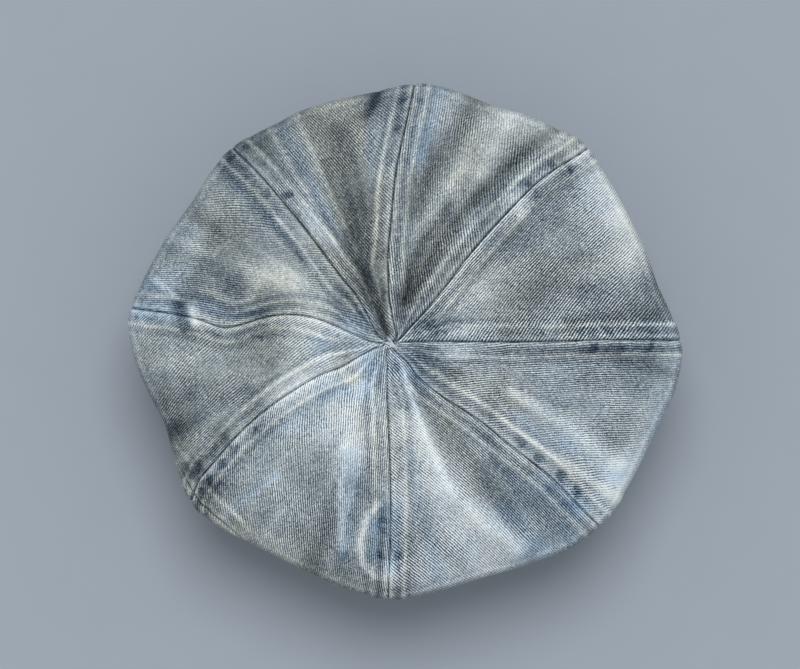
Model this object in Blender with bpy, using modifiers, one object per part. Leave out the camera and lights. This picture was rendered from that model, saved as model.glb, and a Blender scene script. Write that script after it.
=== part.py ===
"""Eight-panel denim beret, standing on its head band with the crown up.

Eight triangular top panels meet at the apex. Eight side panels turn in under the rim to the head
band. A lining follows both, and a stiffener and a sweatband line the band.
Metres, +Z up. The origin is at the centre of the crown's outline, on the surface the band stands on.
"""

import math

import bmesh
import bpy
from mathutils import Matrix, Vector

PANELS = 8

# The crown's seams seen from above, counter-clockwise from +X. Each has the angle in degrees and the
# distance from the apex at which it meets the rim, the turn in degrees that it leaves the apex with, and
# how soon it loses that turn: the higher, the nearer the apex.
SEAMS = (
    (359.0, 0.1520, 1.0, 1.0),
    (46.0, 0.1450, 3.0, 1.0),
    (83.0, 0.1355, 17.0, 1.6),
    (128.0, 0.1330, 0.0, 1.0),
    (176.0, 0.1370, -26.0, 2.0),
    (219.0, 0.1325, -22.0, 0.8),
    (270.5, 0.1335, 0.0, 1.0),
    (321.5, 0.1465, -11.0, 1.0),
)
# How far each side of the outline bows out beyond its chord.
SIDE_BOW = (0.0035, 0.0030, 0.0050, 0.0040, 0.0010, 0.0050, 0.0070, 0.0035)
RIM_SAMPLES = 48
CORNER_SAMPLES = 7

# Heights above the surface.
BAND_TOP = 0.035
RIM_HEIGHT = 0.062
APEX_HEIGHT = 0.084
ROLL_HEIGHT = 0.014
# How far above the band's top the side panels come in to it.
FOOT_SWELL = 0.007

# How the panels run: the share of the way out that a top panel has reached, the share of the way in that
# a side panel has, and the side panel's width as a share of the rim's, each as the pulls of a cubic.
TOP_REACH = (0, 0.50, 1, 1)
SIDE_REACH = (0, 0, 0.55, 1)
SIDE_WIDTH = (1, 1, 0.8, 0.7)

# The head opening, inside the sweatband: half its length and half its width.
OPENING_LENGTH = 0.0970
OPENING_WIDTH = 0.0865

DENIM = 0.0011
STIFFENER = 0.0008
SWEATBAND = 0.0012
LINING = 0.0005
SEAM_GAP = 0.0006
# The share of its length by which a panel stops short of the rim, for the same gap in height.
RIM_SHARE = SEAM_GAP / ROLL_HEIGHT / 3
LAYER_GAP = 0.0003
LINING_GAP = 0.0022
APEX_HOLE = 0.035

BAND_OUTSIDE = DENIM + STIFFENER + SWEATBAND + 2 * LAYER_GAP
STIFFENER_OUTSIDE = BAND_OUTSIDE - DENIM - LAYER_GAP
SWEATBAND_OUTSIDE = STIFFENER_OUTSIDE - STIFFENER - LAYER_GAP
SWEATBAND_TOP = BAND_TOP - 0.001
STIFFENER_FOOT = 0.002
HEM_FOOT = 0.0008
BAND_COLUMNS = 56

TACK_RADIUS = 0.0032
TACK_HEIGHT = 0.0016

LABEL_WIDTH = 0.030
LABEL_HEIGHT = 0.018
LABEL_FOOT = 0.012
LABEL_THICKNESS = 0.0005
# The flat label stands off the curved sweatband by this many times the curve's depth across it.
LABEL_STAND = 1.4


def clear_scene():
    for obj in list(bpy.data.objects):
        bpy.data.objects.remove(obj, do_unlink=True)


def material(name, colour, roughness):
    made = bpy.data.materials.new(name)
    made.use_nodes = True
    shader = made.node_tree.nodes["Principled BSDF"]
    shader.inputs["Base Color"].default_value = (*colour, 1.0)
    shader.inputs["Roughness"].default_value = roughness
    shader.inputs["Metallic"].default_value = 0.0
    return made


def bezier(start, first, second, end, t):
    """The cubic through start and end, pulled towards first and second, at t from 0 to 1."""
    s = 1 - t
    return s**3 * start + 3 * s**2 * t * first + 3 * s * t**2 * second + t**3 * end


def bowed_outline():
    """The rim's points about the apex with sharp corners, RIM_SAMPLES to a side."""
    corners = [
        Vector((math.cos(math.radians(angle)), math.sin(math.radians(angle)))) * reach
        for angle, reach, _, _ in SEAMS
    ]
    points = []
    for side, bow in enumerate(SIDE_BOW):
        start, end = corners[side], corners[(side + 1) % PANELS]
        along = end - start
        outward = Vector((along.y, -along.x)).normalized()
        for sample in range(RIM_SAMPLES):
            t = sample / RIM_SAMPLES
            points.append(start + along * t + outward * (4 * bow * t * (1 - t)))
    return points


def rounded(points):
    """The same closed line with its corners eased, each point a weighted mean of its neighbours."""
    weights = {step: CORNER_SAMPLES - abs(step) for step in range(-CORNER_SAMPLES, CORNER_SAMPLES + 1)}
    total = sum(weights.values())
    count = len(points)
    return [
        sum((points[(i + step) % count] * weight for step, weight in weights.items()), Vector((0, 0))) / total
        for i in range(count)
    ]


def centre_of(points):
    xs = [p.x for p in points]
    ys = [p.y for p in points]
    return Vector(((min(xs) + max(xs)) / 2, (min(ys) + max(ys)) / 2))


OUTLINE = rounded(bowed_outline())
APEX = -centre_of(OUTLINE)


def rim(panel, u):
    """The rim in plan, from the panel's first seam at u = 0 to its second at u = 1."""
    place = (panel + u) * RIM_SAMPLES
    below = math.floor(place)
    share = place - below
    first = OUTLINE[below % len(OUTLINE)]
    second = OUTLINE[(below + 1) % len(OUTLINE)]
    return APEX + first.lerp(second, share)


def turn(panel, u, reach):
    """How far, in radians, the crown is turned at u across the panel and at that share of the way out."""
    turns = [SEAMS[seam % PANELS][2] * (1 - reach) ** SEAMS[seam % PANELS][3] for seam in (panel, panel + 1)]
    return math.radians(turns[0] + (turns[1] - turns[0]) * u)


def on_band(plan, outside):
    """The point of the band's oval in the direction of plan, outside the head opening by that much."""
    length, width = OPENING_LENGTH + outside, OPENING_WIDTH + outside
    angle = math.atan2(plan.y / width, plan.x / length)
    return Vector((length * math.cos(angle), width * math.sin(angle)))


def between_seams(u, width):
    """u drawn in so that panels on the two sides of a seam stay SEAM_GAP apart."""
    inset = SEAM_GAP / 2 / width
    return inset + (1 - 2 * inset) * u


def top_panel(panel, inside):
    """The top panel's surface as a function of u across it and v from the apex to the rim."""

    def surface(u, v):
        v = APEX_HOLE + (1 - RIM_SHARE - APEX_HOLE) * v
        reach = bezier(*TOP_REACH, v)
        width = (rim(panel, 1) - rim(panel, 0)).length * reach
        across = between_seams(u, width)
        edge = rim(panel, across) - APEX
        edge.rotate(Matrix.Rotation(turn(panel, across, reach), 2))
        plan = APEX + edge * reach * (1 - inside / edge.length)
        height = bezier(APEX_HEIGHT, APEX_HEIGHT, RIM_HEIGHT + ROLL_HEIGHT, RIM_HEIGHT, v)
        return Vector((plan.x, plan.y, height - inside * (1 - v)))

    return surface


def side_panel(panel, inside):
    """The side panel's surface as a function of u across it and v from the rim down to the band."""

    def surface(u, v):
        v = RIM_SHARE + (1 - RIM_SHARE) * v
        width = (rim(panel, 1) - rim(panel, 0)).length * bezier(*SIDE_WIDTH, v)
        edge = rim(panel, between_seams(u, width))
        foot = on_band(edge, BAND_OUTSIDE - LAYER_GAP - inside)
        edge = edge * (1 - inside / edge.length)
        plan = edge.lerp(foot, bezier(*SIDE_REACH, v))
        height = bezier(RIM_HEIGHT, RIM_HEIGHT - ROLL_HEIGHT, BAND_TOP + FOOT_SWELL, BAND_TOP + SEAM_GAP, v)
        return Vector((plan.x, plan.y, height + inside * v))

    return surface


def band_strip(outside, foot, top):
    """A strip round the head opening, from its join at the back (-X) round to the join again."""
    half_gap = SEAM_GAP / 2 / OPENING_WIDTH

    def surface(u, v):
        angle = -math.pi + half_gap + 2 * (math.pi - half_gap) * u
        x = (OPENING_LENGTH + outside) * math.cos(angle)
        y = (OPENING_WIDTH + outside) * math.sin(angle)
        return Vector((x, y, top + (foot - top) * v))

    return surface


def label(u, v):
    """A flat tab hanging inside the back of the sweatband, facing the opening."""
    x = -OPENING_LENGTH + LAYER_GAP + LABEL_THICKNESS
    x += (OPENING_LENGTH - math.sqrt(OPENING_LENGTH**2 - (LABEL_WIDTH / 2) ** 2)) * LABEL_STAND
    return Vector((x, LABEL_WIDTH * (0.5 - u), LABEL_FOOT + LABEL_HEIGHT * (1 - v)))


def cloth(name, surface, columns, rows, thickness, finish, group):
    """A sheet mapped onto surface(u, v) and thickened to its inner side."""
    shape = bmesh.new()
    bmesh.ops.create_grid(shape, x_segments=columns, y_segments=rows, size=0.5)
    for vertex in shape.verts:
        vertex.co = surface(vertex.co.x + 0.5, 0.5 - vertex.co.y)
    mesh = bpy.data.meshes.new(name)
    shape.to_mesh(mesh)
    shape.free()
    mesh.materials.append(finish)
    mesh.shade_smooth()
    obj = bpy.data.objects.new(name, mesh)
    group.objects.link(obj)
    solid = obj.modifiers.new("thickness", "SOLIDIFY")
    solid.thickness = thickness
    solid.offset = -1
    return obj


def apex_tack(finish, group):
    """The knot of thread that ties the eight seam ends together."""
    shape = bmesh.new()
    bmesh.ops.create_uvsphere(shape, u_segments=16, v_segments=8, radius=TACK_RADIUS)
    mesh = bpy.data.meshes.new("apex_tack")
    shape.to_mesh(mesh)
    shape.free()
    mesh.materials.append(finish)
    mesh.shade_smooth()
    obj = bpy.data.objects.new("apex_tack", mesh)
    obj.scale.z = TACK_HEIGHT / TACK_RADIUS
    obj.location = (APEX.x, APEX.y, APEX_HEIGHT - TACK_HEIGHT)
    group.objects.link(obj)


def build():
    clear_scene()
    group = bpy.data.collections.new("denim_beret")
    bpy.context.scene.collection.children.link(group)
    denim = material("washed denim", (0.30, 0.35, 0.40), 0.9)
    cotton = material("lining cotton", (0.62, 0.60, 0.55), 0.85)
    tape = material("sweatband tape", (0.10, 0.11, 0.13), 0.8)
    stiff = material("stiffener", (0.80, 0.80, 0.78), 0.9)
    thread = material("thread", (0.35, 0.40, 0.45), 0.7)
    woven = material("woven label", (0.85, 0.85, 0.82), 0.8)

    for panel in range(PANELS):
        number = panel + 1
        cloth(f"top_panel_{number}", top_panel(panel, 0), 6, 8, DENIM, denim, group)
        cloth(f"side_panel_{number}", side_panel(panel, 0), 6, 6, DENIM, denim, group)
        inner = DENIM + LINING_GAP
        cloth(f"lining_top_{number}", top_panel(panel, inner), 4, 6, LINING, cotton, group)
        cloth(f"lining_side_{number}", side_panel(panel, inner), 4, 4, LINING, cotton, group)

    band = band_strip(BAND_OUTSIDE, 0, BAND_TOP)
    stiffener = band_strip(STIFFENER_OUTSIDE, STIFFENER_FOOT, BAND_TOP - STIFFENER_FOOT)
    sweatband = band_strip(SWEATBAND_OUTSIDE, HEM_FOOT, SWEATBAND_TOP)
    cloth("head_band", band, BAND_COLUMNS, 2, DENIM, denim, group)
    cloth("band_stiffener", stiffener, BAND_COLUMNS, 1, STIFFENER, stiff, group)
    cloth("sweatband", sweatband, BAND_COLUMNS, 1, SWEATBAND, tape, group)
    cloth("size_label", label, 2, 2, LABEL_THICKNESS, woven, group)
    apex_tack(thread, group)


build()
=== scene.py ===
"""Looks of the eight-panel denim beret: every panel, seam and fold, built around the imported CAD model.

Metres in the frame, and millimetres where a name or a comment says so. Panels and seams are numbered
counter-clockwise, seen from above, from the seam on +X. Angles are in degrees about the apex.
"""

import math

import bpy
import numpy as np
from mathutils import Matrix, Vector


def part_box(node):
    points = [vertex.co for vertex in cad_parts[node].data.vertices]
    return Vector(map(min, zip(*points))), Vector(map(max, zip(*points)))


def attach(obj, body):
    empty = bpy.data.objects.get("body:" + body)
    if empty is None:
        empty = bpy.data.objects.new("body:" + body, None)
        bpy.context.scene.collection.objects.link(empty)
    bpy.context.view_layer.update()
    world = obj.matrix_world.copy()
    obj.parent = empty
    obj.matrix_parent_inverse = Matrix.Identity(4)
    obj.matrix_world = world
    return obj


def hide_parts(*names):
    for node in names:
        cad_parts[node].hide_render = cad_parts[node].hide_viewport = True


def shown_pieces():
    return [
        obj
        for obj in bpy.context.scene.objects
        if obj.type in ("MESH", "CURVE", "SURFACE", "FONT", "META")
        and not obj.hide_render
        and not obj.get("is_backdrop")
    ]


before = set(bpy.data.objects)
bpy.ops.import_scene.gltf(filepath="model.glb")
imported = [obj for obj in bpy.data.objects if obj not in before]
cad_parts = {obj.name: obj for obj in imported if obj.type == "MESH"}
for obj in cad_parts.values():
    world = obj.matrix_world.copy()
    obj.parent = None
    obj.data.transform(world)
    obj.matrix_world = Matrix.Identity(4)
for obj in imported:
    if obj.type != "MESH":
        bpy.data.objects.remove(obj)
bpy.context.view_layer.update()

MM = 0.001
PANELS = 8

# ---- the crown's outline and section
# Angle and distance from the apex of each corner of the outline.
CORNERS = (
    (359.0, 0.1520), (46.0, 0.1450), (83.0, 0.1355), (128.0, 0.1330),
    (176.0, 0.1370), (219.0, 0.1325), (270.5, 0.1335), (321.5, 0.1465),
)
# How far the side after each corner bows outward.
SIDE_BOW = (0.0035, 0.0030, 0.0050, 0.0040, 0.0010, 0.0050, 0.0070, 0.0035)
# Where the cloth stands out from that outline or draws in: angle, half width and millimetres outward.
RIM_WAVES = (
    (12, 6, -1.1), (64, 6, -2.4), (96, 5, -1.4), (122, 11, -2.7), (144, 8, -2), (168, 9, 1.2),
    (184, 6, 1.3), (200, 7, -2.7), (227, 7, 1.8), (259, 10, 1.6), (290, 10, -2), (311, 6, 2.4),
    (330, 11, -1.4), (352, 6, 2.1),
)
SIDE_SAMPLES = 48
CORNER_SAMPLES = 7
RIM_HEIGHT = 0.062
ROLL_HEIGHT = 0.014
APEX_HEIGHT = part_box("apex_tack")[1].z
BAND_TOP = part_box("head_band")[1].z
BAND_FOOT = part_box("head_band")[0].z
BAND_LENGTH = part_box("head_band")[1].x
BAND_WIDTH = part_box("head_band")[1].y
# Shares of the way out and in that steer the section's two curves.
TOP_REACH = 0.5
SIDE_REACH = 0.55
SIDE_SWELL = 0.007
DENIM = 0.0011
LINING = 0.0005
LINING_GAP = 0.0022

# ---- what the cloth does
# Each seam on the way out from the apex: reach in millimetres and angle.
SEAM_PATHS = (
    ((0, 2), (60, 0.3), (90, 0.5), (105, 0.7), (152, 0.5)),
    ((0, 12), (5, 22), (10, 34), (17, 39.7), (30, 43.3), (56, 47.5), (88, 48.1), (118, 47), (140, 44.8),
     (146, 44.5)),
    ((0, 24), (4, 41), (7, 68), (10.5, 80), (18, 89), (33, 91.6), (64, 89.6), (90, 88), (110, 86.2),
     (131, 84.8), (137, 84.5)),
    ((0, 168), (6, 152), (15, 133), (23, 127.5), (44, 127), (70, 126.8), (92, 127.3), (112, 128),
     (130, 129), (134, 129)),
    ((0, 190), (6, 184), (13, 173), (24, 165), (33, 162.4), (49, 163.3), (64, 167.8), (77, 173),
     (85, 174.8), (99, 173.2), (137, 172.4)),
    ((0, 204), (6, 202), (14, 203), (27, 206.5), (38, 205), (55, 206.3), (74, 208.5), (88, 210.5),
     (108, 213.8), (122, 215.8), (133, 219)),
    ((0, 240), (5, 250), (9.5, 260), (20, 265), (32, 267.5), (50, 269.3), (70, 270), (134, 269.5)),
    ((0, 290), (5, 300), (9, 308), (22, 308.5), (31, 311.5), (56, 318.2), (82, 319.4), (108, 320),
     (128, 319.2), (147, 318.6)),
)
# Folds: the angle and reach of each point along one, half width at its two ends, height at its two ends,
# and how much paler and how much bluer (-) or browner (+) the cloth is. All lengths are in millimetres.
# Their crests are mostly paler and their valleys darker, partly from the wash's wear and partly as painted
# light and shade.
FOLDS = (
    # panel 3
    ((108, 5, 107, 19, 110, 29, 109, 46, 105, 75, 104.5, 110, 104, 120), 1.8, 12, -1.6, -3, -0.14, 2.2),
    ((116, 10, 110, 36), 2.5, 3.5, -1.2, -1, -0.07, 0.3),
    ((97, 40, 96, 64, 94, 93, 90.5, 122), 2, 2.5, 1, 1, 0, 0),
    ((110, 50, 112, 90, 112.5, 128), 1.5, 1.6, 0.8, 0.8, 0.1, 0.1),
    ((115, 50, 116.5, 90, 117.5, 128), 3, 5, -0.4, -0.8, 0.03, -0.6),
    ((118.5, 58, 119.3, 90, 119.6, 128), 1.1, 1.4, 0.8, 0.8, 0.1, 0.1),
    ((96, 118, 92, 133), 2, 2, -1.2, -1.2, -0.14, 0.4), ((99, 18, 96, 28), 3, 4, -0.6, -0.6, -0.1, 0),
    # panel 2
    ((81, 96, 80, 134), 5, 8, 0.8, 1, 0.06, -0.8),
    ((74, 14, 73, 25, 72.5, 40, 71, 55, 66.5, 66, 66, 76), 3, 3.5, -1.6, -1.6, -0.12, 0.4),
    ((78, 68, 77.5, 80, 75.5, 96, 72.5, 112, 70, 132), 4, 8, -1.2, -2.2, -0.12, 0.4),
    ((68.5, 86, 67, 96), 4, 5, 0.8, 0.8, 0.13, 0.1),
    ((62, 92, 61.5, 104, 60.5, 144), 3, 9, 0.8, 2, 0.07, 0.1),
    ((66, 24, 64, 45, 60.5, 76, 56.7, 100, 53.8, 126, 52, 142), 3.5, 3.5, -1.8, -2.4, -0.15, 0.6),
    ((68, 10, 66, 60), 2.5, 7, -0.8, -0.6, 0, 0.3),
    # panel 1
    ((22, 22, 12, 24), 4, 5, -0.6, -0.6, -0.12, -0.2), ((38, 76, 39, 122), 8, 8, -0.4, -0.4, -0.06, -0.3),
    ((18, 66, 22, 94), 12, 17, -0.6, -0.6, -0.1, 0.35), ((30, 45, 27, 56), 8, 8, 0.8, 0.8, 0.06, 0),
    ((14, 104, 12, 142), 5, 8, -0.6, -0.8, -0.09, 0), ((24, 122, 20, 130), 8, 6, 0.3, 0.3, 0.06, 0),
    ((6.5, 94, 6.5, 140), 3.5, 4.5, -0.8, -0.8, -0.15, 0.3),
    # panel 8
    ((357, 100, 355.5, 125, 353.5, 148), 2.5, 4, -0.8, -1.6, -0.1, 0.3),
    ((345, 33, 344, 40), 5, 5, 0.4, 0.4, 0.05, 0), ((338, 20, 342, 32), 2.5, 2.5, -1.2, -0.6, -0.05, -0.3),
    ((343, 60, 341, 120), 8, 12, 1, 1.5, 0.02, 0.1),
    ((325.5, 70, 325.3, 100, 325.5, 144), 1.4, 3, 1, 1.2, 0.19, 0.25),
    ((330, 66, 329.7, 100, 328.8, 134), 3.2, 4.5, -0.8, -0.8, 0.05, -0.5),
    ((337, 68, 334.5, 100, 331.5, 134), 3.5, 7, 1.2, 1.6, 0.19, 0),
    # panel 7
    ((296, 14, 292, 30, 290.6, 53, 292.5, 80, 297, 102, 302.5, 124), 3, 8, 3, 3.4, 0.18, -0.15),
    ((300, 24, 303, 60, 304.5, 90, 308, 130), 4, 8, -1.8, -2.4, -0.12, 0.3),
    ((311, 84, 313, 134), 4, 6, -1, -1.6, -0.12, -0.3),
    ((279, 56, 279.5, 80, 282, 126), 4, 5, -0.4, -0.4, -0.03, -0.3),
    ((286, 45, 288, 95, 294, 125), 7, 11, 0.4, 0.4, 0.08, 0), ((288, 20, 290, 26), 3, 4, 0.4, 0.4, 0.1, 0),
    ((285, 12, 282, 34), 2, 3, -1, -1, -0.12, -0.3), ((270, 116.5, 270, 120), 5, 5, 0.8, 0.8, 0.2, 0.2),
    # panel 6
    ((238, 28, 241, 42, 249, 56), 6, 7, 1, 0.8, 0.16, -0.1),
    ((247, 60, 252, 85, 257, 110), 3, 4, 1, 1, 0.05, 0),
    ((249.5, 80, 252, 94, 255, 108, 257, 122), 1.8, 2.4, -1.4, -1.2, -0.09, 0),
    ((251, 94, 252, 122), 5, 7, -0.8, -1, -0.1, 0.2),
    ((242, 80, 245, 96, 245, 108), 7, 8, -0.6, -0.6, -0.06, 0.1),
    ((227, 82, 229, 92), 7, 8, 0.3, 0.3, 0.07, 0),
    ((265.6, 84, 262.5, 91, 261.4, 104, 262.8, 115, 266, 121), 1.9, 1.9, 0.5, 0.5, 0.21, 0.1),
    ((229, 90, 226, 122), 2.5, 3.5, -0.6, -0.6, 0.06, -0.6),
    ((186, 34, 207, 44, 225, 48), 9, 9, 0.6, 0.6, 0.12, -0.1),
    ((250, 38, 250, 66), 6, 9, 0.5, 0.5, 0.04, -0.2),
    # panel 5
    ((200, 55, 222, 66), 9, 9, 0.5, 0.5, 0.12, -0.1), ((184, 46, 178, 52), 8, 8, 0.2, 0.2, 0.04, 0.1),
    ((187, 96, 185, 110), 8, 8, 0.5, 0.5, 0.04, 0),
    ((199, 80, 201, 100, 202, 118), 5, 6, -1.2, -1.2, -0.08, -0.1),
    ((204, 98, 206.5, 123), 1.6, 1.6, 0.5, 0.5, 0, 0.3), ((163, 42, 170, 30), 7, 6, 0.4, 0.4, 0.11, 0.1),
    ((170.3, 111, 173.3, 108.5, 176.4, 106), 3.2, 2.8, -3, -3, -0.2, -0.2),
    # panel 4
    ((135, 34, 134, 60, 134.5, 122), 2.5, 4, -0.8, -1, -0.06, -0.3),
    ((138, 66, 137.8, 88, 138.5, 124), 2.2, 3, 0.8, 1, 0.01, 0.1),
    ((155, 42, 149, 56), 8, 8, 0.6, 0.8, 0.14, 0.3), ((149.5, 68, 153, 76), 9, 8, 2.2, 1.6, 0.14, 0.4),
    ((158, 73, 163, 74, 166, 82, 164.6, 94, 163.8, 105), 2.2, 1.9, 1.3, 1, 0.04, 0.3),
    ((167, 66, 170, 84, 168.5, 98), 3, 3.5, -1.4, -1.2, -0.12, -1),
    ((157.6, 84, 157.5, 94), 4.5, 5, -1.2, -1.2, -0.06, -0.1),
    ((147, 98, 147, 112), 11, 11, -0.4, -0.4, -0.04, 0.4),
    ((172, 112, 173.5, 130), 7, 7, 0.6, 0.6, 0.04, -0.7), ((171, 103, 174.5, 100.5), 3, 3, 2, 2, 0.14, 0),
    ((164.9, 126, 168.5, 112.5), 1.3, 1.3, 0.8, 0.8, 0.16, 0),
)
# Patches where the cloth is paler or darker but flat, partly from the wash and partly painted light and
# shade: the same without heights.
PATCHES = (
    # panel 3
    ((105, 70, 106, 100), 7, 7, 0, 0.4), ((96, 114, 96, 124), 5, 5, 0, 0.4),
    ((108, 20, 112, 36), 4, 4, 0.07, 0), ((120, 22, 120, 26), 4, 4, -0.07, 0),
    ((98, 78, 95, 122), 3, 4, -0.05, -0.7), ((98, 20, 96, 76), 4, 5, 0, 0.6),
    ((114, 52, 113, 58), 4, 4, -0.09, 0), ((122, 60, 122.8, 90, 124, 108), 3.5, 4.5, 0, -0.3),
    ((119, 104, 120, 124), 8, 10, -0.07, 0), ((127, 30, 127.5, 60), 6, 6, -0.03, 0.4),
    ((84, 11, 84, 16), 3, 3, 0.06, 0),
    # panel 2
    ((54, 92, 54, 102), 4, 4, -0.06, 0), ((67, 92, 66, 108), 6, 6, 0, 0.35),
    ((54, 11, 64, 16), 3, 3, -0.05, 0), ((48, 116, 48, 124), 4, 4, 0, -0.5),
    # panel 1
    ((12, 14, 22, 15), 4, 4, -0.08, 0), ((32, 22, 36, 24), 4, 4, -0.09, 0),
    ((36, 104, 36, 110), 4, 4, -0.07, 0), ((6, 64, 6, 76), 4, 4, -0.05, 0),
    ((43, 94, 48, 98), 4, 4, 0.1, 0), ((15, 27, 14, 36), 4, 4, -0.07, 0),
    ((18, 74, 17, 78), 5, 5, -0.06, 0), ((34, 62, 31, 68), 6, 6, 0.03, 0),
    ((22, 20, 26, 26), 4, 4, 0.06, 0),
    # panel 8
    ((332, 14, 330, 24), 4, 4, -0.06, 0), ((330, 86, 330, 96), 5, 5, 0, 0.35),
    ((342, 33, 342, 36), 3, 3, 0.08, 0), ((348, 92, 348, 112), 5, 5, -0.06, 0),
    ((353, 78, 352, 120), 5, 6, -0.03, 0), ((336, 32, 337, 38), 4, 4, -0.09, 0),
    ((334, 62, 337, 84), 7, 7, -0.04, 0.1), ((327, 42, 329, 50), 5, 5, 0.08, 0),
    ((330, 36, 333, 66), 9, 9, -0.03, 0.5),
    # panel 7
    ((283, 22, 288, 24), 5, 5, 0, 0.5), ((300, 54, 312, 50), 6, 6, 0, 0.45),
    ((288, 114, 288, 120), 5, 5, -0.08, 0), ((306, 42, 306, 46), 4, 4, 0.06, 0),
    ((316.5, 50, 316.5, 76), 4, 4, -0.06, -0.2), ((305, 104, 306, 128), 6, 8, 0, -0.8),
    ((318.5, 104, 318, 130), 6, 6, 0, -0.7), ((285, 12, 296, 14), 3, 3, -0.08, -0.1),
    ((302, 20, 304, 30), 5, 5, 0, -0.8), ((281, 110, 283, 124), 5, 6, 0.06, -0.1),
    ((288, 80, 288, 88), 5, 5, 0.06, 0), ((307, 112, 307, 134), 5, 6, 0.07, 0),
    ((270, 86, 270, 114), 6, 6, 0, -0.8), ((274, 74, 275, 96), 4, 4, 0.08, 0),
    # panel 6
    ((216, 44, 222, 36, 228, 34), 5, 5, 0, -0.6), ((246, 42, 250, 66), 6, 6, 0, 0.55),
    ((264, 92, 264, 110), 3, 3, 0.04, -0.5), ((234, 53, 234, 57), 5, 5, 0.06, 0),
    ((258, 114, 258, 120), 4, 4, -0.08, 0), ((252, 63, 252, 68), 4, 4, 0.06, 0),
    ((226, 20, 240, 27), 7, 6, 0.08, -0.6), ((251, 62, 254, 84, 257, 114), 6, 7, 0.07, -0.5),
    ((256, 42, 256, 58), 5, 5, 0.07, 0), ((258, 76, 258, 112), 4, 4, -0.07, -0.5),
    ((233, 62, 234, 74), 5, 5, 0.07, 0), ((230, 44, 234, 56), 6, 6, 0.1, 0),
    ((265.8, 94, 265.8, 112), 2.2, 2.2, 0, -1), ((223, 30, 223, 37), 4, 4, 0.09, 0),
    ((222, 112, 219, 122), 4, 4, -0.09, 0), ((212, 14, 208, 34), 7, 7, 0.09, -0.1),
    ((206, 24, 222, 26), 5, 6, 0, 0.9), ((252, 102, 253, 110), 4, 4, -0.07, 0),
    ((210, 84, 213, 94), 5, 5, 0.06, 0),
    # panel 5
    ((176, 62, 186, 68), 7, 7, 0, 0.5), ((176, 33, 181, 36), 5, 5, 0, -0.4),
    ((186, 114, 186, 120), 5, 5, 0.08, 0), ((191, 64, 187, 68), 5, 5, -0.06, 0),
    ((203, 50, 205, 66), 6, 6, 0.07, 0), ((194, 106, 202, 122), 8, 10, -0.1, 0),
    ((210, 100, 213, 122), 5, 5, -0.09, 0.2), ((168, 64, 171, 76), 5, 5, 0, 0.5),
    ((174, 94, 174, 107), 3, 3, 0.08, 0), ((172, 44, 170, 58), 7, 7, 0.07, 0),
    ((178, 62, 180, 78), 6, 6, -0.09, 0),
    # panel 4
    ((162, 22, 168, 24), 4, 4, 0.08, 0), ((168, 104, 168, 110), 4, 4, -0.08, 0),
    ((150, 114, 150, 120), 5, 5, 0, -0.45), ((156, 42, 156, 66), 4, 4, -0.06, 0),
    ((162, 83, 162, 88), 5, 5, -0.09, 0), ((142, 106, 147, 108), 6, 6, -0.06, 0.1),
    ((156, 105, 166, 107), 5, 5, -0.08, 0), ((163, 118, 166, 130), 6, 6, 0.02, -0.6),
    ((132, 108, 132, 120), 5, 6, -0.08, 0), ((146, 20, 154, 26), 6, 6, -0.06, -0.5),
    ((152, 115, 152, 122), 6, 6, 0.03, -0.3),
)
# Dents where the seams' thread pulls the cloth in: reach in millimetres, and how deep counter-clockwise and
# clockwise of the seam.
DENTS = (
    ((99, 0.5, 0.2), (107, 0.8, 0.85), (114, 0.8, 0.6), (121, 0.5, 0.85), (129, 0.4, 0.3), (136, 0.5, 0.6)),
    ((18, 0.1, 0.6), (32, 0.1, 0.6), (44, 0.1, 0), (95, 0.2, 0.1), (109, 0.8, 0.5), (125, 0.6, 0.2),
     (131, 0.2, 0.7)),
    ((26, 0.2, 0.3), (46, 0.3, 0.2), (76, 0.2, 0.4), (96, 0.3, 0.4), (112, 0.4, 0.4), (127, 0.6, 0.4)),
    ((94, 0.1, 0.8), (102, 0.5, 0.1), (116, 0.5, 0.5), (128, 0.8, 0.6)),
    (),
    ((26, 0.6, 0.5), (36, 0.2, 0.3), (85, 0.5, 0.2), (99.5, 0.8, 0.5), (109, 0.9, 0.7), (120.5, 1, 1)),
    ((87, 0.3, 0.5), (93, 0.4, 0.6), (99, 0.5, 0.5), (106, 0.3, 0.35), (112, 0.6, 0.6)),
    ((42, 0.2, 0.2), (87, 0.7, 0.2), (98.5, 0.9, 0.2), (114, 0.65, 0.3), (125.5, 0.8, 0.4)),
)
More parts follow.
